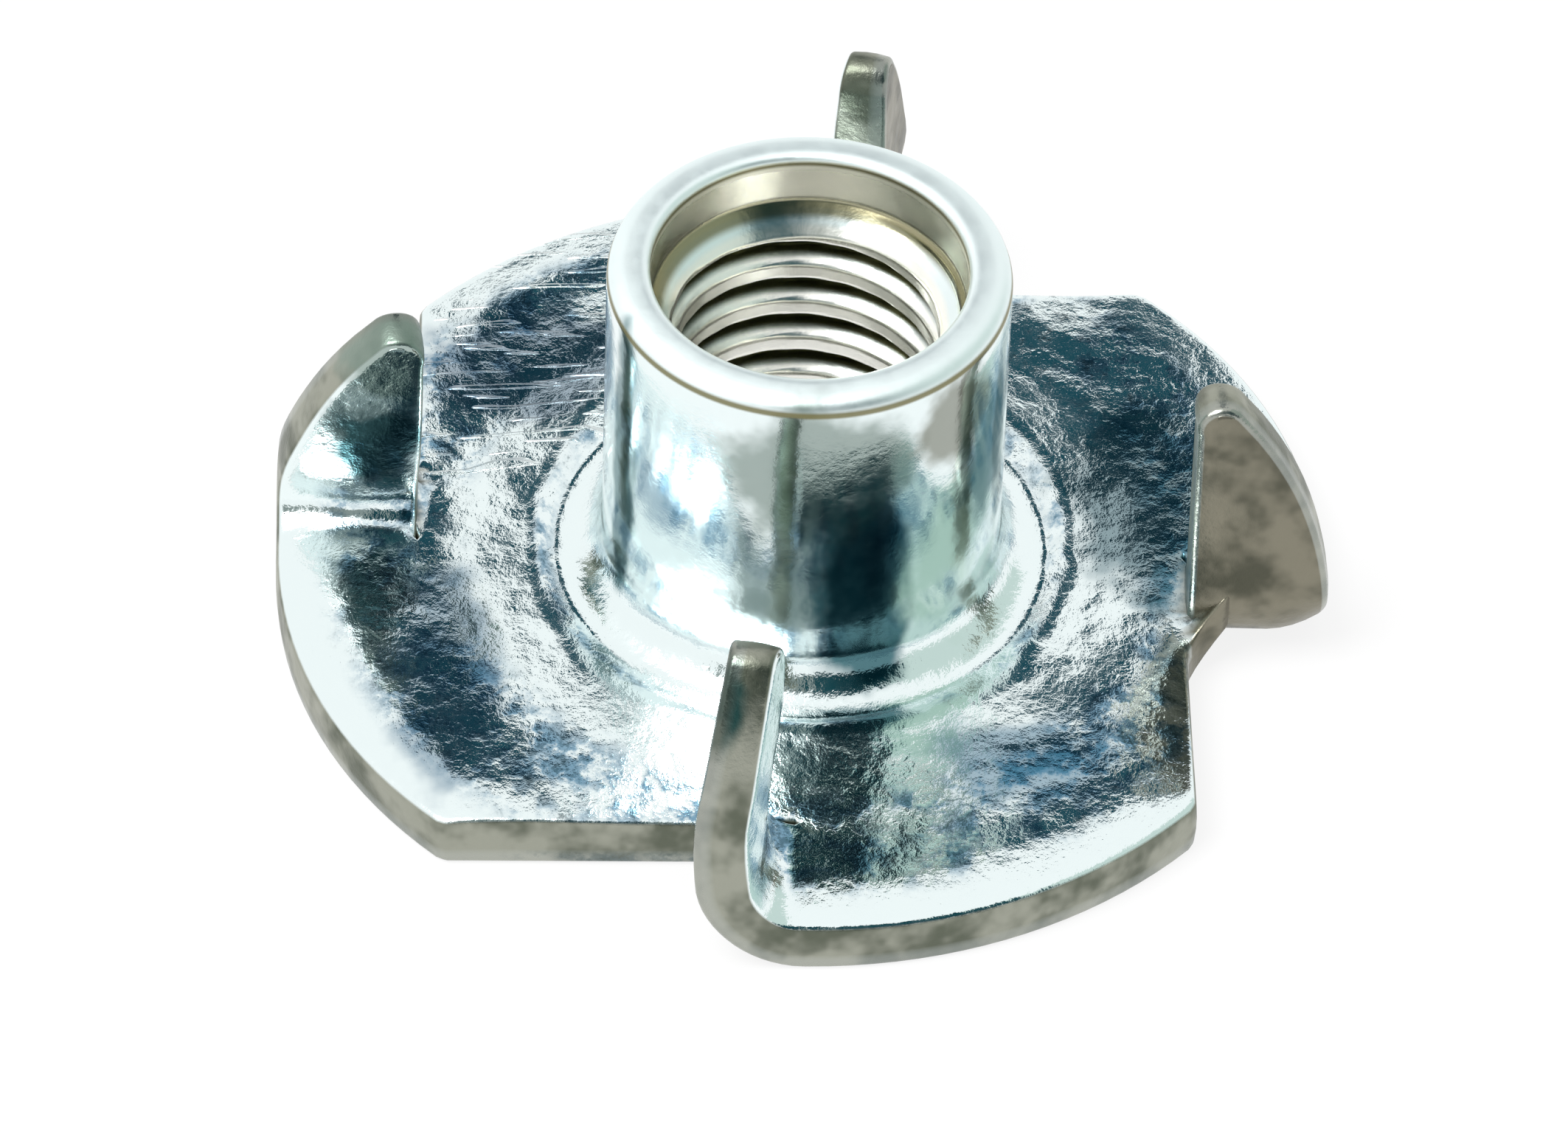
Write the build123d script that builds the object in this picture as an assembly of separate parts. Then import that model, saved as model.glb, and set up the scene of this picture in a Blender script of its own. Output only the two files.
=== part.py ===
from build123d import *
import os
from math import cos, radians, sin, sqrt

# Captive nut with four prongs: a disc of sheet steel drawn up into a threaded barrel at its
# middle. The rim is cut straight in four places, and the piece beyond each cut is folded up
# into a prong. The origin is on the axis at the flange's underside, with +Z up the barrel.

# Flange
flange_diameter = 17.1      # the round blank, edge to edge
plate = 1.05                # thickness of the sheet
prong_width = 2.3           # from the rim inwards to each straight cut
edge_round = 0.12           # sheared edges, softened by tumbling

# Barrel
barrel_diameter = 6.5
overall_height = 7.3        # underside to the barrel's rim
thread_diameter = 4.2       # bore across the crests of an M5 x 0.8 thread
mouth_diameter = 5.1        # plain lead-in, clear of the thread
mouth_depth = 0.9           # lead-in, from the rim to where it closes in on the bore
rim_round = 0.25            # outer edge of the rim
root_radius = 0.8           # barrel to the flange's upper face
entry_radius = 0.7          # way in at the underside, rounded by the draw

# Prongs
prong_count = 4
prong_height = 5.85         # underside to the point where cut and outline meet
prong_offset = 1.7          # from the axis, sideways, to the prong's outer face
prong_angle = 95.5          # degrees, folded a little past upright
prong_taper = 2.5           # degrees between the prong's two faces
bend_radius = 0.5           # inside of the fold
tip_radius = 0.42
web_radius = 0.6            # in the corner between each cut and its prong

# Worked out from the sizes above
flange_radius = flange_diameter / 2
cut_offset = flange_radius - prong_width
fold_outer = bend_radius + plate
fold_start = fold_outer - prong_offset
fold_rim = sqrt(flange_radius**2 - fold_start**2)


def turned_body():
    """Flange and barrel as one turned section, with the bore and both its ways in."""
    bore = thread_diameter / 2
    barrel = barrel_diameter / 2
    mouth = mouth_diameter / 2
    corners = [
        (bore, 0),
        (flange_radius, 0),
        (flange_radius, plate),
        (barrel, plate),
        (barrel, overall_height),
        (mouth, overall_height),
        (mouth, overall_height - mouth_depth),
        (bore, overall_height - mouth_depth - (mouth - bore)),
    ]
    section = make_face(Polyline(*corners, close=True))
    rounds = {0: entry_radius, 1: edge_round, 2: edge_round, 3: root_radius, 4: rim_round}
    for corner, radius in rounds.items():
        spot = Vector(*corners[corner])
        vertex = section.vertices().sort_by_distance(spot)[0]
        section = fillet(vertex, radius)
    return revolve(Plane.XZ * section, Axis.Z)


def cut_tool():
    """What one straight cut takes from the rim, up to the line where the fold starts."""
    size = flange_diameter
    block = Box(size, size, 3 * plate, align=(Align.MAX, Align.MAX, Align.CENTER))
    return Pos(fold_start, -cut_offset, plate / 2) * block


def sheet_run(angle):
    """A step along one face of the upright sheet, long enough to pass the prong's tip."""
    lean = radians(angle)
    return Vector(-cos(lean), sin(lean)) * prong_height


def fold_section():
    """The fold and the upright sheet beyond it, seen along the line of the fold."""
    centre = (fold_start, fold_outer)
    outer = CenterArc(centre, fold_outer, -90, -prong_angle)
    inner = CenterArc(centre, bend_radius, -90, -prong_angle)
    outer_end = (outer @ 1) + sheet_run(prong_angle)
    inner_end = (inner @ 1) + sheet_run(prong_angle - prong_taper)
    edges = [
        outer,
        Line(outer @ 1, outer_end),
        Line(outer_end, inner_end),
        Line(inner_end, inner @ 1),
        inner,
        Line(inner @ 0, outer @ 0),
    ]
    return make_face(edges)


def prong_outline():
    """One prong from the side: straight inner edge, arched outer edge, rounded tip."""
    foot_out = (-fold_rim, 0)
    foot_in = (-cut_offset, 0)
    knee = (-fold_rim, plate)
    tip = (-cut_offset, prong_height)
    outline = make_face([
        Line(foot_in, foot_out),
        Line(foot_out, knee),
        TangentArc(knee, tip, tangent=(0, 1)),
        Line(tip, foot_in),
    ])
    point = outline.vertices().sort_by_distance(Vector(*tip))[0]
    return fillet(point, tip_radius)


def prong():
    """One folded prong: its fold section and its side outline crossed with each other."""
    folded = extrude(Plane.XZ * fold_section(), flange_diameter, dir=(0, -1, 0))
    sides = extrude(Plane.YZ * prong_outline(), flange_diameter, both=True)
    return folded & sides


def web():
    """The rounded corner of sheet between a straight cut and the foot of its prong."""
    left = fold_start - web_radius
    low = (left, 0)
    arc = CenterArc((left, fold_outer), fold_outer, -90, -90)
    section = make_face([
        Line((fold_start, 0), low),
        arc,
        Line(arc @ 1, (fold_start, fold_outer)),
        Line((fold_start, fold_outer), (fold_start, 0)),
    ])
    body = extrude(Plane.XZ * section, cut_offset + web_radius, dir=(0, -1, 0))
    corner = (-prong_offset - web_radius, -cut_offset - web_radius)
    keep = Pos(fold_start, -cut_offset) * Rectangle(
        prong_offset + fold_start + web_radius, web_radius, align=(Align.MAX, Align.MAX)
    )
    keep -= Pos(*corner) * Circle(web_radius)
    return body & extrude(keep, plate)


def tee_nut():
    body = turned_body()
    for turn in range(prong_count):
        place = Rot(0, 0, turn * 360 / prong_count)
        body -= place * cut_tool()
        body += place * (prong() + web())
    return body


os.makedirs("parts", exist_ok=True)
export_step(tee_nut(), "parts/tee_nut.step")
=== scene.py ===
import math
import bmesh
import bpy
from mathutils import Matrix, Vector


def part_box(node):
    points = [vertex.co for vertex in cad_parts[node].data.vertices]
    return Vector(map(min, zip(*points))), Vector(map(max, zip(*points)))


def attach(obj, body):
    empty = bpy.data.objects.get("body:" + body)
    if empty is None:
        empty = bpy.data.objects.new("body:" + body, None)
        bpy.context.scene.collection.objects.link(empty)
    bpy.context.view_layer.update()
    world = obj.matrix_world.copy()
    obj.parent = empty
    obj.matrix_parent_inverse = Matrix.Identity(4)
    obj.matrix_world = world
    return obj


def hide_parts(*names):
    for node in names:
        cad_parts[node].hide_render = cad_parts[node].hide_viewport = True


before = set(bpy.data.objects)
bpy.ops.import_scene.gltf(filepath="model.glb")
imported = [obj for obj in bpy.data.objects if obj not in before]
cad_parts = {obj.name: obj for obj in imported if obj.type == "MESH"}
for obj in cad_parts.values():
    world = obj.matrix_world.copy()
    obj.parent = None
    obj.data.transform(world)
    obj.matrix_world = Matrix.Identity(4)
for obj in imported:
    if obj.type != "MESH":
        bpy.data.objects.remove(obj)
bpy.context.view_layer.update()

nodeLow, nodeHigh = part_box("tee_nut")
mm = 0.001
quarterTurn = math.radians(90)
print("solid loaded, height in mm", round(nodeHigh[2] / mm, 2))


def mix(a, b, t):
    return a + (b - a) * t


def clamp(x, low=0.0, high=1.0):
    return min(max(x, low), high)


def smooth(x):
    x = clamp(x)
    return x * x * (3 - 2 * x)


# the pressed sheet, in millimetres
sheet = {
    "rimRadius": (nodeHigh[0] - nodeLow[0]) / 2 / mm,
    "thickness": 1.05,
    "cutOffset": 6.25,      # from the axis to each straight cut
    "edgeRound": 0.11,
    "rimBand": 1.0,         # soft band that the press leaves along the round rim
    "rimFall": 0.15,
    "cutBand": 1.3,         # the same along each straight cut
    "cutFall": 0.12,
    "cutFadeStart": 0.5,    # where that band dies out, beside the next prong
    "cutFade": 1.2,
    "fallPower": 1.25,
    "ringCrest": 4.25,      # low cone that the drawing punch leaves round the barrel
    "ringEdge": 5.75,
    "ringRise": 0.17,
    "sway": 0.06,           # gentle waves of the pressed face: two sets, crossing
    "swayRound": 2,
    "swayOut": 1.1,
    "crossRound": 3,
    "crossOut": 1.3,
    "crossStart": 1,
    "swayFade": 2,
    "columnsAlongRim": 20,
    "columnsAlongCut": 18,
    "rows": 10,
}

# the folded prongs; lists run front, right, rear, left
prong = {
    "height": 5.85,
    "offset": 1.7,
    "angle": math.radians(95.5),
    "taper": math.tan(math.radians(2.5)),
    "bendRadius": 0.5,
    "neutral": 0.4,         # share of the sheet inside the line that keeps its length
    "tipRadius": 0.42,
    "slit": 0.02,
    "bendColumns": 14,
    "stemColumns": 12,
    "count": 4,
    "tipDome": 0.55,        # how much thinner the sheet gets at the tip
    "tipLength": 0.8,
    "bulge": 0.05,          # the fold swells a little towards the rim
    "bulgeLength": 1.8,
    "rollStart": 1.0,       # the fold's corner at the rim is rolled over
    "rollLength": 1.1,
    "twistLength": 2.2,
    "rimRoll": [0.12, 0.4, 0.3, 0.3],
    "lean": [math.radians(a) for a in (0, 0, -5.5, 4.5)],
    "twist": [math.radians(a) for a in (-8, 0, -12, 7)],
    "aside": [0.0, 0.0, 0.2, 0.0],
    "grow": [0.0, 0.0, 0.15, 0.0],
    "web": [0.04, 0.75, 0.5, 0.5],      # radius in the corner between a cut and its prong
    "roundWeb": 0.3,        # a smaller web than this is a sharp corner
    "webRise": 1.05,
    "webPower": 1.3,
}

# the drawn barrel, its domed rim and the plain mouth above the thread
barrel = {
    "radius": 3.25,
    "height": nodeHigh[2] / mm,
    "rootRadius": 0.8,
    "rimRound": 0.28,
    "rimShare": 0.8,        # how much of that round shows before the dome begins
    "rimCrest": 2.70,       # radius of the highest line of the domed rim
    "rimDome": 0.34,
    "mouthRadius": 2.55,
    "mouthDepth": 0.9,
    "mouthRound": 0.14,
    "boreRadius": 2.1,
    "entryRadius": 0.7,
}

rim, plate, cut, soft = sheet["rimRadius"], sheet["thickness"], sheet["cutOffset"], sheet["edgeRound"]
foldOuter = prong["bendRadius"] + plate
foldStart = foldOuter - prong["offset"]
foldRim = math.sqrt(rim**2 - foldStart**2)
neutralRadius = prong["bendRadius"] + prong["neutral"] * plate
bendLength = neutralRadius * prong["angle"]
bendTop = foldOuter - (prong["bendRadius"] + plate / 2) * math.cos(prong["angle"])
# the arch of a prong's outer edge, seen from the side
archWidth = foldRim - cut
archHeight = prong["height"] - plate
archRadius = (archWidth**2 + archHeight**2) / (2 * archWidth)
archCentre = Vector((-foldRim + archRadius, plate))
tipCentre = Vector((-cut - prong["tipRadius"], 0))
tipCentre.y = plate + math.sqrt((archRadius - prong["tipRadius"])**2 - (tipCentre.x - archCentre.x)**2)
ringAngle = math.atan2(-cut, foldStart + soft)
columns = sheet["columnsAlongRim"] + sheet["columnsAlongCut"]
turned = Matrix.Rotation(quarterTurn, 2)


# how far the upper face of one quarter stands above or below the plain sheet
def relief(u, v, who):
    r = math.hypot(u, v)
    fall = sheet["rimFall"] * max(0.0, (r - rim) / sheet["rimBand"] + 1) ** sheet["fallPower"]
    along = smooth((-v - sheet["cutFadeStart"]) / sheet["cutFade"])
    nearCut = clamp((u - cut) / sheet["cutBand"] + 1) ** sheet["fallPower"]
    fall = max(fall, along * sheet["cutFall"] * nearCut)
    inner = barrel["radius"] + barrel["rootRadius"]
    up = smooth((r - inner) / (sheet["ringCrest"] - inner))
    down = 1 - clamp((r - sheet["ringCrest"]) / (sheet["ringEdge"] - sheet["ringCrest"]))
    angle = math.atan2(v, u) + who * quarterTurn
    wave = math.sin(sheet["swayRound"] * angle + sheet["swayOut"] * r)
    wave *= math.sin(sheet["crossOut"] * r - sheet["crossRound"] * angle + sheet["crossStart"])
    wave *= smooth((r - inner) / sheet["swayFade"])
    return sheet["ringRise"] * up * down + sheet["sway"] * wave - fall


# a place on the flat blank, at a height in the sheet, once the prong is folded up
def fold(u, v, h, who):
    w = foldStart - u
    if w <= 0:
        return Vector((u, v, h))
    share = min(w / bendLength, 1)
    angle = prong["angle"] + prong["lean"][who]
    turn = share * angle
    run = max(w - bendLength, 0.0) * (1 + prong["grow"][who])
    toRim = smooth((-v - cut) / (foldRim - cut))
    swell = prong["bulge"] * toRim * math.sin(math.pi * min(w / (bendLength + prong["bulgeLength"]), 1))
    corner = clamp((-v - foldRim + prong["rollStart"]) / prong["rollLength"]) ** 2
    corner *= math.sin(math.pi * share)
    tip = clamp((heightAt(w) - prong["height"] + prong["tipLength"]) / prong["tipLength"])
    thick = (1 - run * prong["taper"] / plate) * (1 - prong["tipDome"] * tip * tip)
    h += prong["rimRoll"][who] * corner * (1 - h / plate)
    r = foldOuter + swell - mix(plate / 2, h, thick)
    x = foldStart - r * math.sin(turn) - run * math.cos(angle)
    z = foldOuter - r * math.cos(turn) + run * math.sin(angle)
    pivot = Vector((plate / 2 - prong["offset"], -cut))
    twist = prong["twist"][who] * smooth((w - bendLength / 2) / prong["twistLength"])
    flat = Matrix.Rotation(twist, 2) @ (Vector((x, v)) - pivot) + pivot
    return Vector((flat.x + prong["aside"][who] * smooth(share), flat.y, z))


# height of the middle of the sheet, at a length w past the start of the fold
def heightAt(w):
    if w < bendLength:
        return foldOuter - (prong["bendRadius"] + plate / 2) * math.cos(max(w, 0) / neutralRadius)
    return bendTop + (w - bendLength) * math.sin(prong["angle"])


# the length at which the straight part of the prong reaches a height
def alongAt(z):
    return bendLength + (z - bendTop) / math.sin(prong["angle"])


# where the arched edge runs on the flat blank, at that length
def archAt(w):
    z = heightAt(w)
    if z <= plate:
        return -foldRim
    return archCentre.x - math.sqrt(max(archRadius**2 - (z - plate)**2, 0))


# free outline of a prong on the flat blank: points, each with the direction into the sheet
def prongLines():
    inner, outer = [], []
    step = 0.01
    wTip = alongAt(tipCentre.y)
    stem = wTip - bendLength
    ws = [bendLength * (i + 0.5) / prong["bendColumns"] for i in range(prong["bendColumns"])]
    ws += [bendLength + stem * (i + 0.5) / prong["stemColumns"] for i in range(prong["stemColumns"])]
    for w in ws:
        inner.append((Vector((foldStart - w, -cut - prong["slit"])), Vector((0, -1))))
        slope = (archAt(w + step) - archAt(w - step)) / (2 * step)
        outer.append((Vector((foldStart - w, archAt(w))), Vector((slope, 1)).normalized()))
    toTip = Vector((tipCentre.x - archCentre.x, tipCentre.y - archCentre.y))
    last = math.atan2(toTip.y, toTip.x)
    centre = Vector((foldStart - wTip, tipCentre.x))

    def onTip(angle):
        out = Vector((-math.sin(angle), math.cos(angle)))
        return centre + out * prong["tipRadius"], -out

    first, second = math.radians(55), math.radians(125)     # the end of the tip lies between these
    steps = 4
    for k in range(steps + 1):
        inner.append(onTip(first * k / steps))
        outer.append(onTip(mix(last, second, k / steps)))
    end = [onTip(mix(first, second, k / sheet["rows"])) for k in range(1, sheet["rows"])]
    return inner, outer, end


# free outline of the lobe beside it: round rim, end of the straight cut, rest of the cut
def lobeLines(web):
    n = sheet["columnsAlongRim"]
    corner = math.sqrt(rim**2 - cut**2)
    first = math.atan2(-foldRim, foldStart + soft)
    last = math.atan2(-corner, cut) - 0.015     # stops just short of the corner
    rimLine = []
    for i in range(n):
        a = mix(first, last, i / (n - 1))
        out = Vector((math.cos(a), math.sin(a)))
        rimLine.append((out * rim, -out))
    # one point that takes the sharpness off the corner
    blunt, inward = Vector((-0.02, 0.03)), Vector((-1, 0.35)).normalized()
    rimLine.append((Vector((cut, -corner)) + blunt, inward * 1.1))
    endLength = 1.0
    join = -corner + endLength
    endLine = [(Vector((cut, mix(-corner, join, k / sheet["rows"]))), Vector((-1, 0)))
               for k in range(1, sheet["rows"] + 1)]
    foot = -prong["offset"] - web
    arcSteps, hidden = 6, 3     # the last few points run under the fold, out of sight
    webTurn, overlap, hiddenLean = math.radians(84), 0.05, -0.3
    straight = sheet["columnsAlongCut"] - arcSteps - hidden - 1
    cutLine = []
    for k in range(1, straight + 1):
        cutLine.append((Vector((cut, mix(join, foot, k / straight))), Vector((-1, 0))))
    for k in range(1, arcSteps + 1):
        a = webTurn * k / arcSteps
        place = Vector((cut + web * (1 - math.cos(a)), foot + web * math.sin(a)))
        cutLine.append((place, Vector((-math.cos(a), math.sin(a)))))
    start = cutLine[-1][0]
    goal = Vector((cut, foldStart - overlap))
    for k in range(1, hidden + 1):
        inward = Vector((-1, 0)) if k == hidden else Vector((-1, hiddenLean)).normalized()
        cutLine.append((mix(start, goal, k / hidden), inward))
    return rimLine, endLine, cutLine


# a point of an outline, moved in from the edge by the edge's rounding
def core(entry):
    return entry[0] + entry[1] * soft


# the open skin of one quarter, made a patch at a time; points that fall together are shared
class QuarterSkin:
    def __init__(self, who):
        self.who = who
        self.web = prong["web"][(who + 1) % prong["count"]]
        self.mesh = bmesh.new()
        self.layers = {name: self.mesh.verts.layers.float.new(name) for name in ("sheared", "dullAndShaded")}
        self.seen = {}

    def top(self, p):
        return plate + relief(p.x, p.y, self.who)

    # the web beyond the cut rises with the fold that it runs into
    def placed(self, p, h, folded):
        if folded:
            return fold(p.x, p.y, h, self.who)
        beyond = 0
        if p.y > -prong["offset"] - self.web - soft:
            beyond = clamp((p.x - cut - prong["slit"]) / max(self.web, prong["roundWeb"]))
        return Vector((p.x, p.y, h + prong["webRise"] * beyond ** prong["webPower"]))

    def vertex(self, p, h, folded, sheared=0.0, dullAndShaded=0.0):
        spot = self.placed(p, h, folded)
        key = tuple(round(c, 5) for c in spot)
        if key not in self.seen:
            self.seen[key] = self.mesh.verts.new(spot * mm)
            self.seen[key][self.layers["sheared"]] = sheared
            self.seen[key][self.layers["dullAndShaded"]] = dullAndShaded
        return self.seen[key]

    def face(self, corners):
        corners = list(dict.fromkeys(corners))
        if len(corners) > 2 and self.mesh.faces.get(corners) is None:
            self.mesh.faces.new(corners)

    # upper and lower face of a patch of sheet, from lines of points; the lower face gets the painted shade of
    # the underside
    def patch(self, lines, folded, upper, lower):
        for a, b in zip(lines, lines[1:]):
            for j in range(len(a) - 1):
                ring = [a[j], a[j + 1], b[j + 1], b[j]]
                if upper:
                    self.face([self.vertex(p, self.top(p), folded) for p in reversed(ring)])
                if lower:
                    self.face([self.vertex(p, 0.0, folded, dullAndShaded=1.0) for p in ring])

    # section through the edge: rounded above and below, with the sheared wall between; below the top of the
    # rounding the edge gets the sheared colour, partly painted dark reflection, and the lower rounding also
    # part of the painted shade of the underside
    def edgeLine(self, entry, folded):
        steps, wall, belly = 5, 3, 0.02
        shearedFrom = 2         # the rounding is bright on top and sheared lower down
        spot, inward = entry
        full = core(entry)
        line = [self.vertex(full, self.top(full), folded)]
        for k in range(1, steps + 1):
            a = quarterTurn * k / steps
            p = spot + inward * soft * (1 - math.sin(a))
            h = self.top(p) - soft + soft * math.cos(a)
            line.append(self.vertex(p, h, folded, sheared=float(k > shearedFrom)))
        for k in range(1, wall):
            p = spot - inward * belly * math.sin(math.pi * k / wall)
            h = mix(self.top(spot) - soft, soft, k / wall)
            line.append(self.vertex(p, h, folded, sheared=1.0))
        for k in range(steps, 0, -1):
            a = quarterTurn * k / steps
            p = spot + inward * soft * (1 - math.sin(a))
            line.append(self.vertex(p, soft - soft * math.cos(a), folded, sheared=0.6, dullAndShaded=0.5))
        line.append(self.vertex(full, 0.0, folded, dullAndShaded=1.0))
        return line

    # a round web gets the painted shade of the prong's outer face all through, and no sheared colour
    def dullWeb(self):
        pastCut = cut + 0.03
        if self.web <= prong["roundWeb"]:
            return
        for v in self.mesh.verts:
            flat = v.co / mm
            if flat.x > pastCut and flat.y > -prong["offset"] - self.web:
                v[self.layers["dullAndShaded"]], v[self.layers["sheared"]] = 1.0, 0.0

    def finish(self):
        data = bpy.data.meshes.new("quarter")
        self.mesh.to_mesh(data)
        self.mesh.free()
        return data


# line that divides the lobe beside the prong from the ring round the barrel
def divideLine(start, end):
    n = sheet["columnsAlongRim"]
    middle = Vector((3.6, -6.9))        # bows the line out towards the rim
    return [start * (1 - t)**2 + middle * 2 * t * (1 - t) + end * t * t
            for t in (i / n for i in range(n + 1))]


# lines of points across the lobe and on up the prong to its tip
def leafLines(divide, rimLine, endLine, inner, outer, end):
    rows, n = sheet["rows"], sheet["columnsAlongRim"]
    leaf = [[core(e) for e in reversed(endLine)] + [core(rimLine[n])]]
    for i in range(n - 1, -1, -1):
        leaf.append([mix(divide[i], core(rimLine[i]), j / rows) for j in range(rows + 1)])
    leaf[0] = leaf[0][:rows] + leaf[0][-1:]
    bowed, bow = 4, 0.12        # the last lines bow out to meet the round tip
    for i, (a, b) in enumerate(zip(inner, outer)):
        nearEnd = max(0, i - (len(inner) - bowed - 1)) / bowed
        line = []
        for j in range(rows + 1):
            t = j / rows
            p = mix(core(a), core(b), t)
            if nearEnd >= 1 and 0 < j < rows:
                p = core(end[j - 1])
            elif nearEnd > 0:
                p = p + Vector((-4 * t * (1 - t) * nearEnd * bow, 0))
            line.append(p)
        leaf.append(line)
    return leaf


# lines of points from a circle round the axis out to the border
def ringLines(border, radius):
    lines = []
    for i, b in enumerate(border):
        a = ringAngle + quarterTurn * i / (len(border) - 1)
        start = Vector((math.cos(a), math.sin(a))) * radius
        lines.append([mix(start, b, j / sheet["rows"]) for j in range(sheet["rows"] + 1)])
    return lines[::-1]


# one quarter of the sheet, with its prong
def buildQuarter(who):
    skin = QuarterSkin(who)
    inner, outer, end = prongLines()
    rimLine, endLine, cutLine = lobeLines(skin.web)
    slitFoot = Vector((foldStart + soft, -cut - prong["slit"] / 2))
    divide = divideLine(slitFoot, core(endLine[-1]))
    skin.patch(leafLines(divide, rimLine, endLine, inner, outer, end), True, True, True)
    border = divide + [core(e) for e in cutLine] + [turned @ slitFoot]
    skin.patch(ringLines(border, barrel["radius"] + barrel["rootRadius"]), False, True, False)
    skin.patch(ringLines(border, barrel["boreRadius"] + barrel["entryRadius"]), False, False, True)
    slitEnd = (slitFoot - Vector((soft, 0)), Vector((1, 0)))
    nextSlitEnd = (turned @ slitEnd[0], turned @ slitEnd[1])
    loop = [(slitEnd, False)]
    loop += [(e, True) for e in inner + end + outer[::-1]]
    loop += [(e, False) for e in rimLine + endLine + cutLine + [nextSlitEnd]]
    edges = [skin.edgeLine(entry, folded) for entry, folded in loop]
    skin.dullWeb()
    for a, b in zip(edges, edges[1:]):
        for k in range(len(a) - 1):
            skin.face([a[k], a[k + 1], b[k + 1], b[k]])
    return skin.finish()


# crest and root are shares of half a pitch, where the flank begins and ends;
# rowStep is the spacing of the rings that the turns are cut in
thread = {"pitch": 0.8, "depth": 0.36, "crest": 0.34, "root": 0.9, "start": 0.25, "rowStep": 0.04}


# section of the barrel from its root outside, over the rim and down the bore to the underside;
# with it come the places in the list where the mouth and the threaded bore begin
def barrelLine():
    r, h = barrel["radius"], barrel["height"]
    root, rimRound = barrel["rootRadius"], barrel["rimRound"]
    mouth, bore, entry = barrel["mouthRadius"], barrel["boreRadius"], barrel["entryRadius"]
    small = barrel["mouthRound"]
    wallSteps, domeSteps, mouthSteps = 16, 8, 10
    line = []

    def arc(centreR, centreZ, radius, first, last, steps):
        for k in range(steps + 1):
            a = math.radians(mix(first, last, k / steps))
            line.append((centreR + radius * math.cos(a), centreZ + radius * math.sin(a)))

    def domed(radius):
        return h - barrel["rimDome"] * (radius - barrel["rimCrest"])**2

    arc(r + root, plate + root, root, 270, 180, 12)
    for k in range(1, wallSteps):
        line.append((r, mix(plate + root, h - rimRound, k / wallSteps)))
    shoulder = r - rimRound * barrel["rimShare"]
    arc(r - rimRound, domed(shoulder) - rimRound, rimRound, 0, 72, 6)
    for k in range(1, domeSteps):
        radius = mix(shoulder, mouth + small, k / domeSteps)
        line.append((radius, domed(radius)))
    arc(mouth + small, domed(mouth + small) - small, small, 80, 180, 4)
    low = h - barrel["mouthDepth"]
    mouthStart = len(line) - 1
    for k in range(1, mouthSteps):
        line.append((mouth, mix(h - small, low, k / mouthSteps)))
    throat = len(line)
    z = low
    while z > 0:
        radius = max(bore, mouth - (low - z))
        if z < entry:
            radius = bore + entry - math.sqrt(entry**2 - (entry - z)**2)
        line.append((radius, z))
        z -= thread["rowStep"]
    line.append((bore + entry, 0))
    return line, mouthStart, throat


# the barrel's section, turned into a skin
def buildBarrel():
    line, mouthStart, throat = barrelLine()
    mouthEnd = throat + 3
    mesh = bmesh.new()
    layers = {name: mesh.verts.layers.float.new(name) for name in ("bore", "mouth")}
    count = columns * prong["count"]
    rings = []
    for index, (radius, height) in enumerate(line):
        ring = []
        for k in range(count):
            a = ringAngle + 2 * math.pi * k / count
            v = mesh.verts.new((radius * math.cos(a) * mm, radius * math.sin(a) * mm, height * mm))
            v[layers["bore"]] = 1.0 if index >= throat else 0.0
            v[layers["mouth"]] = 1.0 if mouthStart <= index < mouthEnd else 0.0
            ring.append(v)
        rings.append(ring)
    for lowRing, highRing in zip(rings, rings[1:]):
        for k in range(count):
            m = (k + 1) % count
            mesh.faces.new((lowRing[k], lowRing[m], highRing[m], highRing[k]))
    data = bpy.data.meshes.new("barrelSkin")
    mesh.to_mesh(data)
    mesh.free()
    return data


# short hand for adding nodes and linking them
class Tree:
    def __init__(self, tree):
        self.tree = tree

    def node(self, kind, inputs=None, **settings):
        made = self.tree.nodes.new(kind)
        for name, value in settings.items():
            setattr(made, name, value)
        for key, value in (inputs or {}).items():
            self.feed(made.inputs[key], value)
        return made

    def feed(self, socket, value):
        if isinstance(value, bpy.types.NodeSocket):
            self.tree.links.new(value, socket)
        else:
            socket.default_value = value

    def math(self, operation, a, b=0.0, c=None):
        inputs = {0: a, 1: b}
        if c is not None:
            inputs[2] = c
        return self.node("ShaderNodeMath", inputs, operation=operation).outputs[0]

    def ramp(self, value, low, high, toLow=0.0, toHigh=1.0, smoothly=True):
        made = self.node("ShaderNodeMapRange", {"Value": value, "From Min": low, "From Max": high,
                                                "To Min": toLow, "To Max": toHigh})
        made.interpolation_type = "SMOOTHSTEP" if smoothly else "LINEAR"
        return made.outputs["Result"]

    def band(self, value, low, high, edge):
        rise = self.ramp(value, low - edge, low + edge)
        drop = self.ramp(value, high - edge, high + edge, 1.0, 0.0)
        return self.math("MULTIPLY", rise, drop)

    def blend(self, a, b, share):
        made = self.node("ShaderNodeMix", {0: share}, data_type="RGBA")
        self.feed(made.inputs[6], a)
        self.feed(made.inputs[7], b)
        return made.outputs[2]


def newTree(name, sockets):
    group = bpy.data.node_groups.new(name, "GeometryNodeTree")
    group.interface.new_socket("Geometry", in_out="INPUT", socket_type="NodeSocketGeometry")
    for label, kind in sockets:
        group.interface.new_socket(label, in_out="INPUT", socket_type=kind)
    group.interface.new_socket("Geometry", in_out="OUTPUT", socket_type="NodeSocketGeometry")
    tree = Tree(group)
    return tree, tree.node("NodeGroupInput"), tree.node("NodeGroupOutput")


# puts a tree on an object and sets its inputs by their identifiers
def useTree(obj, group, values):
    modifier = obj.modifiers.new(group.name, "NODES")
    modifier.node_group = group
    for item in group.interface.items_tree:
        if item.in_out == "INPUT" and item.name in values:
            modifier[item.identifier] = values[item.name]


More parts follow.
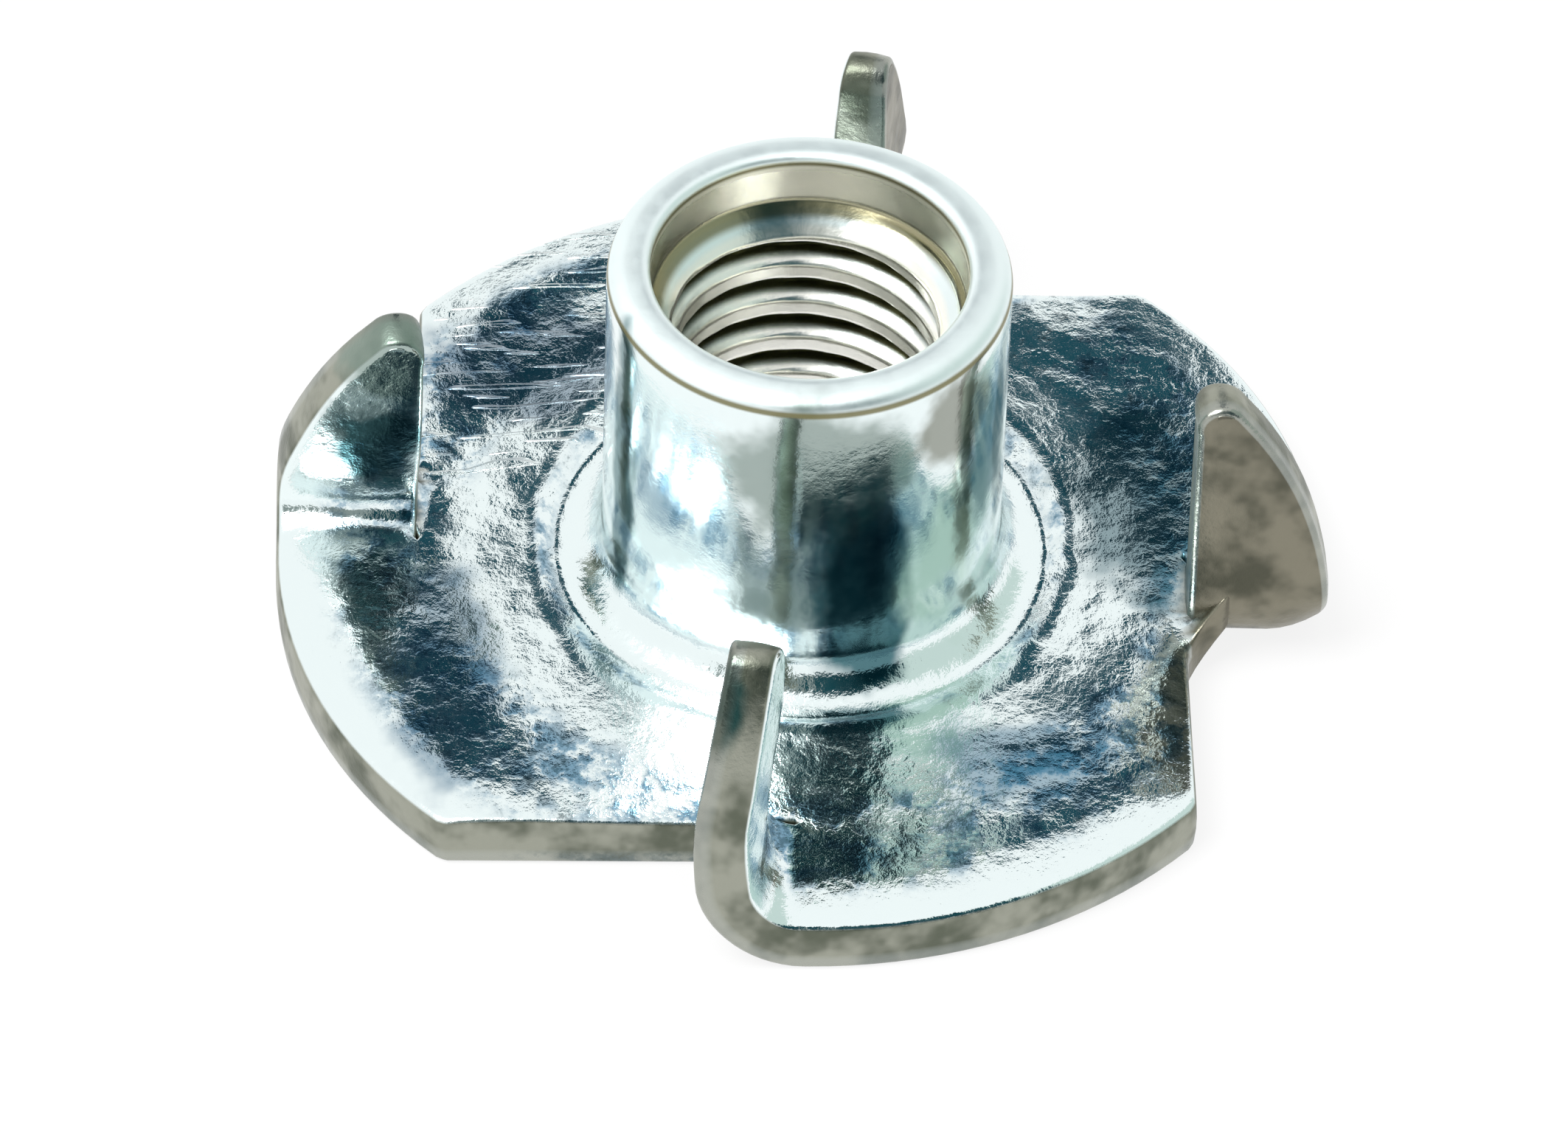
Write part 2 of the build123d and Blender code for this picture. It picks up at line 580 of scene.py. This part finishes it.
# moves the bore's wall out into the turns of the thread
def threadTree():
    names = ("Pitch", "Minor radius", "Depth", "Crest", "Root", "Start")
    sockets = [(name, "NodeSocketFloat") for name in names]
    tree, source, sink = newTree("threadRule", sockets)
    position = tree.node("GeometryNodeInputPosition").outputs[0]
    xyz = tree.node("ShaderNodeSeparateXYZ", {0: position}).outputs
    angle = tree.math("ARCTAN2", xyz[1], xyz[0])
    turns = tree.math("DIVIDE", xyz[2], source.outputs["Pitch"])
    phase = tree.math("SUBTRACT", turns, tree.math("DIVIDE", angle, 2 * math.pi))
    phase = tree.math("FRACT", tree.math("ADD", phase, source.outputs["Start"]))
    ridge = tree.math("ABSOLUTE", tree.math("SUBTRACT", tree.math("MULTIPLY", phase, 2.0), 1.0))
    shape = tree.ramp(ridge, source.outputs["Crest"], source.outputs["Root"], smoothly=False)
    radius = tree.math("MULTIPLY_ADD", shape, source.outputs["Depth"], source.outputs["Minor radius"])
    flat = tree.node("ShaderNodeCombineXYZ", {0: xyz[0], 1: xyz[1]}).outputs[0]
    now = tree.node("ShaderNodeVectorMath", {0: flat}, operation="LENGTH").outputs["Value"]
    out = tree.math("MAXIMUM", tree.math("SUBTRACT", radius, now), 0.0)
    outward = tree.node("ShaderNodeVectorMath", {0: flat}, operation="NORMALIZE").outputs[0]
    offset = tree.node("ShaderNodeVectorMath", {0: outward, "Scale": out}, operation="SCALE").outputs[0]
    bore = tree.node("GeometryNodeInputNamedAttribute", {"Name": "bore"}, data_type="FLOAT").outputs[0]
    moved = tree.node("GeometryNodeSetPosition", {"Geometry": source.outputs["Geometry"], "Offset": offset,
                                                  "Selection": tree.math("GREATER_THAN", bore, 0.5)})
    tree.tree.links.new(moved.outputs[0], sink.inputs[0])
    return tree.tree


# sets the four quarters round the barrel and welds the whole into one skin
def pinwheelTree():
    names = ["Front quarter", "Right quarter", "Rear quarter", "Left quarter"]
    sockets = [(name, "NodeSocketObject") for name in names]
    sockets += [("Turn", "NodeSocketFloat"), ("Weld", "NodeSocketFloat"), ("Finish", "NodeSocketMaterial")]
    tree, source, sink = newTree("pinwheelRule", sockets)
    join = tree.node("GeometryNodeJoinGeometry")
    tree.tree.links.new(source.outputs["Geometry"], join.inputs[0])
    for index, name in enumerate(names):
        piece = tree.node("GeometryNodeObjectInfo", {"Object": source.outputs[name]}).outputs["Geometry"]
        angle = tree.math("MULTIPLY", source.outputs["Turn"], float(index))
        spin = tree.node("ShaderNodeCombineXYZ", {2: angle}).outputs[0]
        moved = tree.node("GeometryNodeTransform", {"Geometry": piece, "Rotation": spin})
        tree.tree.links.new(moved.outputs[0], join.inputs[0])
    real = tree.node("GeometryNodeRealizeInstances", {0: join.outputs[0]})
    weld = tree.node("GeometryNodeMergeByDistance", {
        "Geometry": real.outputs[0], "Distance": source.outputs["Weld"]})
    shade = tree.node("GeometryNodeSetShadeSmooth", {"Geometry": weld.outputs[0]})
    finish = tree.node("GeometryNodeSetMaterial", {
        "Geometry": shade.outputs[0], "Material": source.outputs["Finish"]})
    tree.tree.links.new(finish.outputs[0], sink.inputs[0])
    return tree.tree


zinc = {
    "bright": (0.85, 0.94, 0.94, 1),
    # painted reflection: the blue mottling is partly the plating's tint and partly painted dark reflection,
    # and the near-black teal after it paints spots of dark reflection
    "blueTintAndReflection": (0.20, 0.36, 0.48, 1),              # mottling of the open flange
    "darkReflection": (0.015, 0.06, 0.08, 1),
    # the cut edges' dark colour is partly the sheared finish and partly painted dark reflection
    "sheared": (0.13, 0.145, 0.11, 1),          # cut edges
    "shearedPale": (0.36, 0.37, 0.31, 1),
    # painted shade: the underside and the prongs' outer faces are coloured dark as if in shade, in two tones,
    # and made rougher
    "dullAndShaded": (0.10, 0.10, 0.075, 1),             # underside and outer faces of the prongs
    "dullAndShadedPale": (0.25, 0.235, 0.18, 1),
    "mouth": (0.97, 0.96, 0.84, 1),
    "olive": (0.20, 0.18, 0.07, 1),
    # painted highlight for the thread crests and painted shade for the grooves between them
    "crest": (0.98, 0.98, 0.92, 1),
    "shadedGroove": (0.05, 0.052, 0.022, 1),
    "darkReflectionShare": 0.6,
    "taperShare": 0.85,
    "lipShare": 0.9,
    "roughness": 0.09,
    "grainRoughness": 0.06,     # added where the grain is coarse
    "edgeRoughness": 0.25,
    "insideRoughness": 0.12,
    "rimRoughness": 0.3,
    "waveDepth": 0.07,
    "pitDepth": 0.022,
    "fineDepth": 0.004,
    "scratchDepth": 0.05,
    "scratchAngle": math.radians(-52),
    "scratchStretch": (0.5, 5.0, 1.0),
    "calmShare": 0.75,          # how much smoother the barrel is than the flange
}

# noises in the plating: scale in each millimetre, detail, roughness, place along the fourth axis
noises = {
    "cloud": (0.5, 3, 0.6, 1.0),
    "grain": (2.4, 4, 0.7, 2.0),
    "speck": (9.0, 3, 0.7, 5.0),
    "pale": (0.9, 3, 0.6, 3.0),
    "ragged": (0.9, 3, 0.55, 9.0),
    "wave": (0.9, 2, 0.5, 7.0),
}

# from none to all of a look, as levels of the noise that it follows;
# ragged also gives how far it pushes a painted patch's edge in and out, and the pair after it how soft that
# edge is
levels = {
    "cloud": (0.40, 0.56),
    "grain": (0.42, 0.56),
    "darkReflection": (0.52, 0.62),
    "speck": (0.42, 0.55),
    "pale": (0.38, 0.62),
    "rough": (0.35, 0.65),
    "ragged": (0.3, 0.7, -0.3, 0.3),
    "patchEdge": (0.7, 1.2),
    "scratch": (0.60, 0.68),
}

# where a look begins and ends, in millimetres: from the axis; a third number softens a band
radii = {
    "flange": (3.9, 4.3),
    "ringInner": (4.2, 4.5),
    "ringOuter": (5.3, 6.1),
    "rimBand": (7.4, 8.1),
    "barrelWall": (3.2, 3.3, 0.03),
    "lip": (3.15, 3.2),
    "crest": (2.3, 2.2),
    "shadedGroove": (2.2, 2.34),
}

# and above the underside
heights = {
    "flange": (1.5, 1.9),
    "barrelWall": (1.3, 1.6),
    "thread": (5.9, 6.0),
    "taper": (6.2, 6.42, 0.06),
    "lip": (7.0, 7.1, 0.03),
    "mouthLip": (7.08, 7.16),
    "rim": (6.95, 7.1),
    "calmRim": (6.6, 6.9),
}

# the lobe with the scratches: where they set in across and along it, and at its sheared edge
scratched = {"x": (-1.0, -2.0), "y": (1.0, 2.0), "face": (0.0, 0.2)}

# patches of painted reflection on the flange, barrel and prongs, and one of painted shade inside the bore:
# centre and half sizes in millimetres, colour, share
paintedLightPatches = [
    ((1.0, -3.1, 2.9), (0.85, 0.7, 2.1), (0.02, 0.13, 0.16, 1), 0.92),
    ((0.1, -3.2, 5.7), (1.5, 0.9, 1.4), (0.27, 0.34, 0.31, 1), 0.85),
    ((2.45, -2.2, 6.1), (0.8, 0.9, 1.0), (0.22, 0.23, 0.18, 1), 0.8),
    ((2.2, -2.4, 3.2), (0.7, 0.9, 1.6), (0.62, 0.76, 0.68, 1), 0.8),
    ((-2.95, -1.3, 4.0), (0.2, 0.5, 3.2), (0.04, 0.16, 0.18, 1), 0.85),
    ((3.1, -1.0, 5.0), (0.2, 0.4, 2.2), (0.10, 0.20, 0.18, 1), 0.7),
    ((-1.5, 0.6, 4.9), (0.8, 1.3, 1.1), (0.05, 0.07, 0.03, 1), 0.7),
    ((-7.0, 0.4, 2.9), (0.9, 1.6, 1.1), (0.01, 0.10, 0.12, 1), 0.92),
    ((-6.8, 0.3, 4.8), (0.9, 1.6, 0.8), (0.22, 0.30, 0.26, 1), 0.75),
    ((-1.5, -6.9, 4.3), (0.42, 0.9, 1.5), (0.01, 0.07, 0.07, 1), 0.9),
    ((-5.8, -3.0, 1.0), (0.9, 2.6, 0.4), (0.04, 0.16, 0.28, 1), 0.5),
    ((3.4, -4.9, 1.0), (1.6, 0.9, 0.4), (0.03, 0.18, 0.30, 1), 0.6),
    ((5.6, 1.0, 1.0), (1.4, 2.4, 0.4), (0.02, 0.12, 0.16, 1), 0.7),
    ((-4.5, 4.2, 1.0), (1.8, 1.5, 0.4), (0.02, 0.10, 0.20, 1), 0.6),
]


# places, noises and layers that colour, roughness and bumps all work from
def surfaceValues(tree):
    place = tree.node("ShaderNodeTexCoord").outputs["Object"]
    inMm = tree.node("ShaderNodeVectorMath", {0: place, "Scale": 1 / mm}, operation="SCALE").outputs[0]
    x, y, z = tree.node("ShaderNodeSeparateXYZ", {0: inMm}).outputs
    flat = tree.node("ShaderNodeCombineXYZ", {0: x, 1: y}).outputs[0]
    radius = tree.node("ShaderNodeVectorMath", {0: flat}, operation="LENGTH").outputs["Value"]
    at = {"place": inMm, "x": x, "y": y, "z": z, "radius": radius}
    for name, (scale, detail, rough, shift) in noises.items():
        noise = tree.node("ShaderNodeTexNoise", {
            "Vector": inMm, "Scale": scale, "Detail": detail, "Roughness": rough, "W": shift},
            noise_dimensions="4D")
        at[name] = noise.outputs["Fac"]
    for name in ("sheared", "dullAndShaded", "bore", "mouth"):
        at[name] = tree.node("ShaderNodeAttribute", attribute_name=name).outputs["Fac"]
    at["onFlange"] = tree.math("MULTIPLY", tree.ramp(radius, *radii["flange"]),
                               tree.ramp(z, *heights["flange"], 1.0, 0.0))
    at["inside"] = tree.math("MAXIMUM", at["mouth"], at["bore"])
    return at


# bright plating, mottled on the open flange in a blue that is partly the plating's tint and partly painted
# dark reflection, with the sheared edges, patches of painted reflection and shade, and the painted shade of
# the underside faces over it
def outsideColour(tree, at):
    radius = at["radius"]
    offRing = tree.math("MAXIMUM", tree.ramp(radius, *radii["ringOuter"]),
                        tree.ramp(radius, *radii["ringInner"], 1.0, 0.0))
    offRim = tree.ramp(radius, *radii["rimBand"], 1.0, 0.0)
    openFace = tree.math("MULTIPLY", tree.math("MULTIPLY", at["onFlange"], offRing), offRim)
    # blue mottling, partly the plating's tint and partly painted dark reflection
    patches = tree.math("MULTIPLY", tree.ramp(at["cloud"], *levels["cloud"]),
                        tree.ramp(at["grain"], *levels["grain"]))
    colour = tree.blend(zinc["bright"], zinc["blueTintAndReflection"], tree.math("MULTIPLY", openFace, patches))
    # near-black spots of painted dark reflection
    spots = tree.math("MULTIPLY", tree.ramp(at["grain"], *levels["darkReflection"]),
                      tree.ramp(at["speck"], *levels["speck"]))
    spots = tree.math("MULTIPLY", tree.math("MULTIPLY", openFace, spots), zinc["darkReflectionShare"])
    colour = tree.blend(colour, zinc["darkReflection"], spots)
    pale = tree.ramp(at["pale"], *levels["pale"])
    # sheared edges, their dark colour partly painted dark reflection
    colour = tree.blend(colour, tree.blend(zinc["sheared"], zinc["shearedPale"], pale), at["sheared"])
    ragged = tree.ramp(at["ragged"], *levels["ragged"], smoothly=False)
    # patches of painted reflection, and painted shade inside the bore
    for centre, half, tint, share in paintedLightPatches:
        away = tree.node("ShaderNodeVectorMath", {0: at["place"], 1: centre}, operation="SUBTRACT").outputs[0]
        away = tree.node("ShaderNodeVectorMath", {0: away, 1: half}, operation="DIVIDE").outputs[0]
        away = tree.node("ShaderNodeVectorMath", {0: away}, operation="LENGTH").outputs["Value"]
        amount = tree.ramp(tree.math("ADD", away, ragged), *levels["patchEdge"], share, 0.0)
        colour = tree.blend(colour, tint, amount)
    # painted shade over the underside and the prongs' outer faces
    return tree.blend(colour, tree.blend(zinc["dullAndShaded"], zinc["dullAndShadedPale"], pale), at["dullAndShaded"])


# pale mouth, thread with a painted highlight on the crests and painted shade in the grooves, and an olive
# line at the taper and along the lip
def insideColour(tree, at, colour):
    z, radius, bore, mouth = at["z"], at["radius"], at["bore"], at["mouth"]
    colour = tree.blend(colour, zinc["mouth"], mouth)
    # painted highlight on the thread crests, then painted shade in the grooves
    crest = tree.math("MULTIPLY", bore, tree.ramp(radius, *radii["crest"]))
    colour = tree.blend(colour, zinc["crest"], crest)
    shadedGroove = tree.math("MULTIPLY", tree.ramp(radius, *radii["shadedGroove"]),
                       tree.ramp(z, *heights["thread"], 1.0, 0.0))
    colour = tree.blend(colour, zinc["shadedGroove"], tree.math("MULTIPLY", bore, shadedGroove))
    taper = tree.math("MULTIPLY", at["inside"], tree.band(z, *heights["taper"]))
    colour = tree.blend(colour, zinc["olive"], tree.math("MULTIPLY", taper, zinc["taperShare"]))
    lip = tree.math("MULTIPLY", tree.band(z, *heights["lip"]), tree.ramp(radius, *radii["lip"]))
    lip = tree.math("MAXIMUM", lip, tree.math("MULTIPLY", mouth, tree.ramp(z, *heights["mouthLip"])))
    return tree.blend(colour, zinc["olive"], tree.math("MULTIPLY", lip, zinc["lipShare"]))


# smooth plating, rougher on cut edges and dull faces, inside the barrel and over its rim
def plateRoughness(tree, at):
    rough = tree.ramp(at["grain"], *levels["rough"], zinc["roughness"],
                      zinc["roughness"] + zinc["grainRoughness"])
    edge = tree.math("MAXIMUM", at["sheared"], at["dullAndShaded"])
    rough = tree.math("ADD", rough, tree.math("MULTIPLY", edge, zinc["edgeRoughness"]))
    matt = tree.math("MAXIMUM", tree.math("MULTIPLY", at["inside"], zinc["insideRoughness"]),
                     tree.ramp(at["z"], *heights["rim"], 0.0, zinc["rimRoughness"]))
    return tree.math("ADD", rough, matt)


# slow waves, pits and fine grain, calmer on the barrel, and slanting scratches on one lobe
def plateBump(tree, at):
    z = at["z"]
    onBarrel = tree.math("MULTIPLY", tree.band(at["radius"], *radii["barrelWall"]),
                         tree.ramp(z, *heights["barrelWall"]))
    still = tree.math("MAXIMUM", tree.math("MAXIMUM", onBarrel, at["inside"]),
                      tree.ramp(z, *heights["calmRim"]))
    calm = tree.math("SUBTRACT", 1.0, tree.math("MULTIPLY", still, zinc["calmShare"]))
    slant = tree.node("ShaderNodeMapping", {
        "Vector": at["place"], "Rotation": (0, 0, zinc["scratchAngle"]),
        "Scale": zinc["scratchStretch"]}).outputs[0]
    marks = tree.node("ShaderNodeTexNoise", {"Vector": slant, "Scale": 1.0, "Detail": 1.0}).outputs["Fac"]
    lobe = tree.math("MULTIPLY", tree.ramp(at["x"], *scratched["x"]), tree.ramp(at["y"], *scratched["y"]))
    face = tree.math("MULTIPLY", at["onFlange"], tree.ramp(at["sheared"], *scratched["face"], 1.0, 0.0))
    layers = [(at["wave"], calm, "waveDepth"),
              (at["grain"], calm, "pitDepth"),
              (at["speck"], calm, "fineDepth"),
              (tree.ramp(marks, *levels["scratch"]), tree.math("MULTIPLY", lobe, face), "scratchDepth")]
    normal = None
    for height, strength, depth in layers:
        inputs = {"Height": height, "Strength": strength, "Distance": zinc[depth] * mm}
        if normal is not None:
            inputs["Normal"] = normal
        normal = tree.node("ShaderNodeBump", inputs).outputs[0]
    return normal


def zincPlate():
    material = bpy.data.materials.new("zincPlate")
    material.use_nodes = True
    tree = Tree(material.node_tree)
    shader = material.node_tree.nodes["Principled BSDF"]
    at = surfaceValues(tree)
    shader.inputs["Metallic"].default_value = 1.0
    tree.feed(shader.inputs["Base Color"], insideColour(tree, at, outsideColour(tree, at)))
    tree.feed(shader.inputs["Roughness"], plateRoughness(tree, at))
    tree.feed(shader.inputs["Normal"], plateBump(tree, at))
    return material


def plainObject(name, data):
    obj = bpy.data.objects.new(name, data)
    bpy.context.scene.collection.objects.link(obj)
    return obj


# builds the parts of the skin, runs the two trees on them and keeps the plain mesh that comes out
def buildNut():
    finish = zincPlate()
    quarters = [plainObject("quarter" + str(who), buildQuarter(who)) for who in range(prong["count"])]
    skin = plainObject("barrelSkin", buildBarrel())
    print("quarters and barrel skin built")
    useTree(skin, threadTree(), {
        "Pitch": thread["pitch"] * mm, "Minor radius": barrel["boreRadius"] * mm,
        "Depth": thread["depth"] * mm, "Crest": thread["crest"], "Root": thread["root"],
        "Start": thread["start"]})
    useTree(skin, pinwheelTree(), {
        "Front quarter": quarters[0], "Right quarter": quarters[1], "Rear quarter": quarters[2],
        "Left quarter": quarters[3], "Turn": quarterTurn, "Weld": 0.001 * mm, "Finish": finish})
    bpy.context.view_layer.update()
    graph = bpy.context.evaluated_depsgraph_get()
    data = bpy.data.meshes.new_from_object(skin.evaluated_get(graph))
    data.name = "teeNut"
    for obj in quarters + [skin]:
        bpy.data.objects.remove(obj)
    trial = bmesh.new()         # counts open edges for the print line below
    trial.from_mesh(data)
    openEdges = [e for e in trial.edges if len(e.link_faces) != 2]
    print("nut welded:", len(trial.faces), "faces,", len(openEdges), "open edges, cubic mm",
          round(trial.calc_volume() / mm**3, 1))
    trial.free()
    return plainObject("tee_nut_finished", data)


nut = buildNut()
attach(nut, "root")
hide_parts("tee_nut")


def emitter(name, colour):
    material = bpy.data.materials.new(name)
    material.use_nodes = True
    tree = Tree(material.node_tree)
    nodes = material.node_tree.nodes
    nodes.remove(nodes["Principled BSDF"])
    glow = tree.node("ShaderNodeEmission", {"Color": (*colour, 1), "Strength": 1.0})
    tree.feed(nodes["Material Output"].inputs[0], glow.outputs[0])
    return material


# cards round the nut, out of view: bearing from the front turning right, then height, in degrees
cards = [
    ("farCard", 164, 191, 28, 50, (0.012, 0.065, 0.09)),
    ("nearCard", 4, 50, 20, 66, (0.01, 0.06, 0.075)),
    ("frontCard", -36, 4, 22, 60, (0.25, 0.29, 0.28)),
    ("rightCard", 50, 128, 10, 60, (0.62, 0.72, 0.68)),
]


def buildCard(name, left, right, low, high, colour):
    distance, steps = 0.5, 12
    mesh = bmesh.new()
    rows = []
    for tilt in (math.radians(low), math.radians(high)):
        row = []
        for k in range(steps + 1):
            bearing = math.radians(mix(left, right, k / steps))
            flat = distance * math.cos(tilt)
            row.append(mesh.verts.new((flat * math.sin(bearing), -flat * math.cos(bearing),
                                       distance * math.sin(tilt))))
        rows.append(row)
    for k in range(steps):
        mesh.faces.new((rows[0][k], rows[0][k + 1], rows[1][k + 1], rows[1][k]))
    data = bpy.data.meshes.new(name)
    mesh.to_mesh(data)
    mesh.free()
    data.materials.append(emitter(name, colour))
    card = plainObject(name, data)
    card.visible_camera = False
    card.visible_shadow = False
    card.visible_diffuse = False


def seenDirectly(tree):
    rays = tree.node("ShaderNodeLightPath").outputs
    either = tree.math("MAXIMUM", rays["Is Camera Ray"], rays["Is Glossy Ray"])
    return tree.math("MAXIMUM", either, rays["Is Transmission Ray"])


# floorWhite is the share of plain white in the floor as seen; light is the room's strength on surfaces
room = {"floorSize": 3, "floorDrop": 0.01 * mm, "floorColour": (0.9, 0.9, 0.9, 1), "floorWhite": 0.85,
        "light": 0.7}


def buildFloor():
    mesh = bmesh.new()
    bmesh.ops.create_grid(mesh, x_segments=1, y_segments=1, size=room["floorSize"])
    data = bpy.data.meshes.new("floor")
    mesh.to_mesh(data)
    mesh.free()
    floor = plainObject("floor", data)
    floor.location.z = -room["floorDrop"]
    material = bpy.data.materials.new("paleFloor")
    material.use_nodes = True
    tree = Tree(material.node_tree)
    nodes = material.node_tree.nodes
    nodes.remove(nodes["Principled BSDF"])
    matt = tree.node("ShaderNodeBsdfDiffuse", {"Color": room["floorColour"]})
    white = tree.node("ShaderNodeEmission", {"Color": (1, 1, 1, 1), "Strength": 1.0})
    share = tree.math("MULTIPLY", seenDirectly(tree), room["floorWhite"])
    both = tree.node("ShaderNodeMixShader", {0: share, 1: matt.outputs[0], 2: white.outputs[0]})
    tree.feed(nodes["Material Output"].inputs[0], both.outputs[0])
    data.materials.append(material)


def buildWorld():
    world = bpy.data.worlds.new("room")
    bpy.context.scene.world = world
    world.use_nodes = True
    tree = Tree(world.node_tree)
    background = world.node_tree.nodes["Background"]
    background.inputs["Color"].default_value = (1, 1, 1, 1)
    strength = tree.ramp(seenDirectly(tree), 0, 1, room["light"], 1.0, smoothly=False)
    tree.feed(background.inputs["Strength"], strength)


# angles in degrees, bearing from the front turning right; lengths in metres, power in watts
lamp = {"bearing": -60, "elevation": 62, "distance": 0.5, "size": 0.3, "power": 2.2}


def buildLamp():
    light = bpy.data.lights.new("topLamp", "AREA")
    light.shape = "DISK"
    light.size = lamp["size"]
    light.energy = lamp["power"]
    obj = plainObject("topLamp", light)
    b, e = math.radians(lamp["bearing"]), math.radians(lamp["elevation"])
    place = Vector((math.sin(b) * math.cos(e), -math.cos(b) * math.cos(e), math.sin(e))) * lamp["distance"]
    obj.location = place
    obj.rotation_euler = place.to_track_quat("Z", "Y").to_euler()


for entry in cards:
    buildCard(*entry)
buildFloor()
buildWorld()
buildLamp()
print("room built")

# angles in degrees, lengths in metres, lens in millimetres
view = {"elevation": 44.56, "bearing": -2.45, "roll": -2.06, "distance": 0.1816, "lens": 254.1,
        "shiftX": -0.0093, "shiftY": 0.016}


def buildCamera():
    data = bpy.data.cameras.new("camera")
    data.sensor_width = 36
    data.lens = view["lens"]
    data.clip_start = 0.01
    data.shift_x, data.shift_y = view["shiftX"], view["shiftY"]
    camera = plainObject("camera", data)
    e, b, roll = (math.radians(view[k]) for k in ("elevation", "bearing", "roll"))
    turn = Matrix.Rotation(b, 3, "Z")
    back = turn @ Vector((0, -math.cos(e), math.sin(e)))
    right = turn @ Vector((1, 0, 0))
    up = turn @ Vector((0, math.sin(e), math.cos(e)))
    side = right * math.cos(roll) - up * math.sin(roll)
    top = right * math.sin(roll) + up * math.cos(roll)
    facing = Matrix((side, top, back)).transposed()
    camera.matrix_world = Matrix.LocRotScale(back * view["distance"], facing, None)
    bpy.context.scene.camera = camera


buildCamera()
bpy.context.scene.view_settings.view_transform = "Standard"
